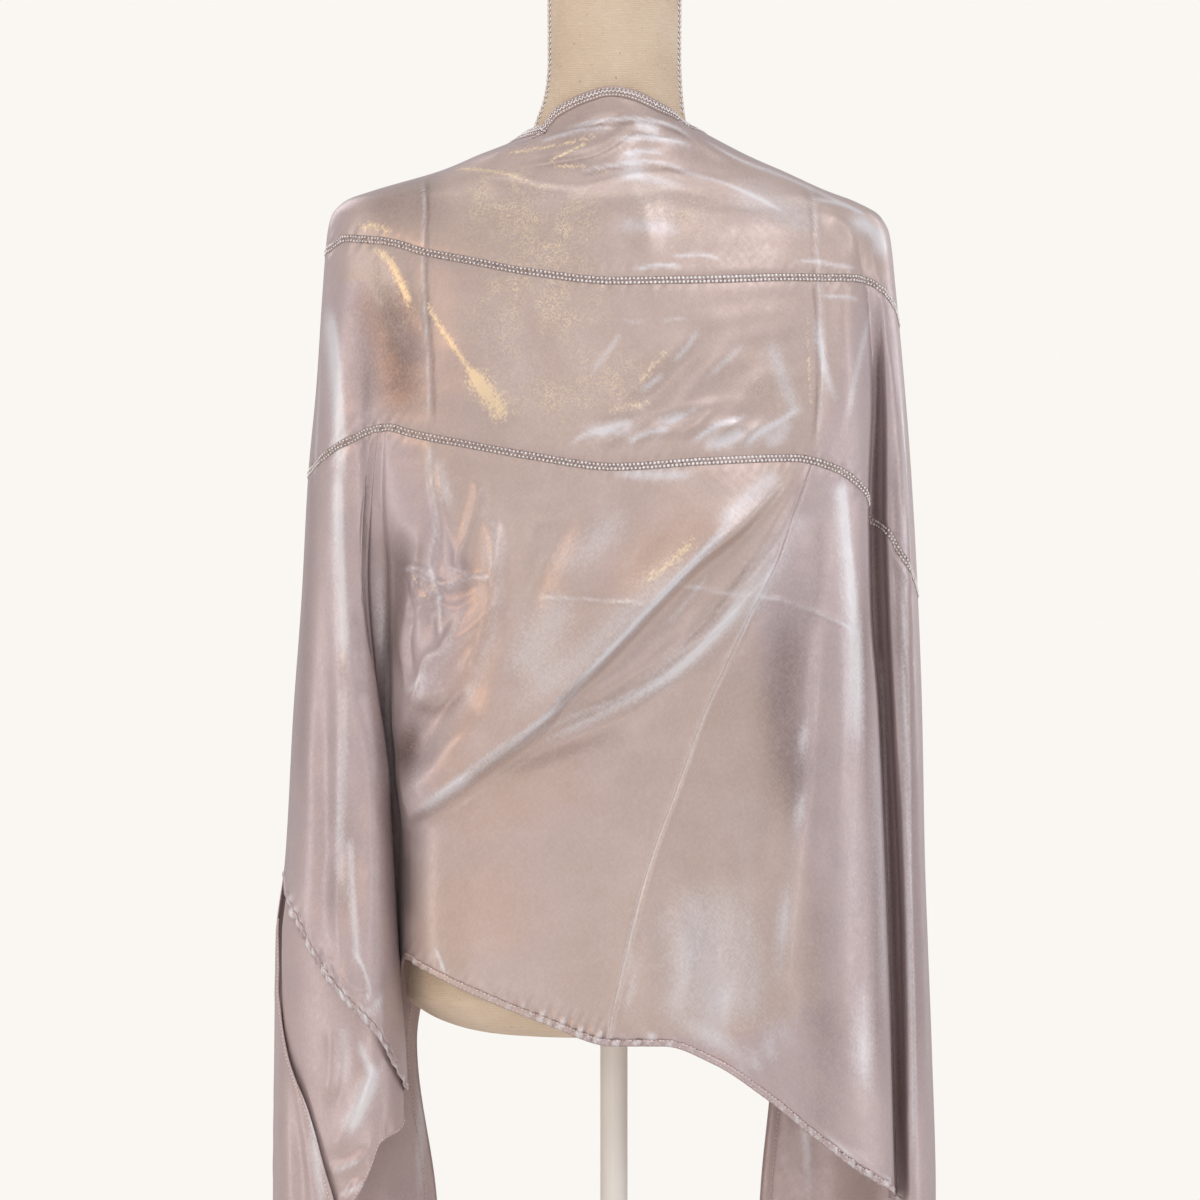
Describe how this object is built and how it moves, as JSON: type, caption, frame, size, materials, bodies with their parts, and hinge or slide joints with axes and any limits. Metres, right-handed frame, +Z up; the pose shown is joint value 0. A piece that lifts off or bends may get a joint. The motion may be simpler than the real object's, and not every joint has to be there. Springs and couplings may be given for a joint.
{
  "type": "evening stole on a limbless dress form",
  "caption": "Long liquid-satin evening stole draped over the shoulders of a limbless dress form, with deep side folds, open front and a slanting back hem.",
  "frame": {"origin": "centre of the underside of the stand's round base, on the floor", "axes": "+Z up along the pole, +Y the way the form faces, +X to its right as seen from behind"},
  "size_m": [0.4874, 0.31, 1.0704],
  "materials": {
    "satin": "glossy metallic satin",
    "thread": "shiny thread",
    "linen": "matte linen",
    "paint": "satin paint"
  },
  "bodies": {
    "root": {"back_upper_panel": "satin", "back_middle_panel": "satin", "left_tail_back": "satin", "back_lower_left_panel": "satin", "back_lower_right_panel": "satin", "right_tail_back": "satin", "top_hem": "satin", "bottom_hem": "satin", "left_turned_edge": "satin", "left_flap": "satin", "left_tail_front": "satin", "left_front_hem": "satin", "right_tail_front": "satin", "right_front_hem": "satin", "upper_serged_seam": "thread", "lower_serged_seam": "thread", "dress_form": "linen", "neck_cap": "paint", "stand_pole": "paint", "stand_base": "paint"}
  },
  "joints": []
}
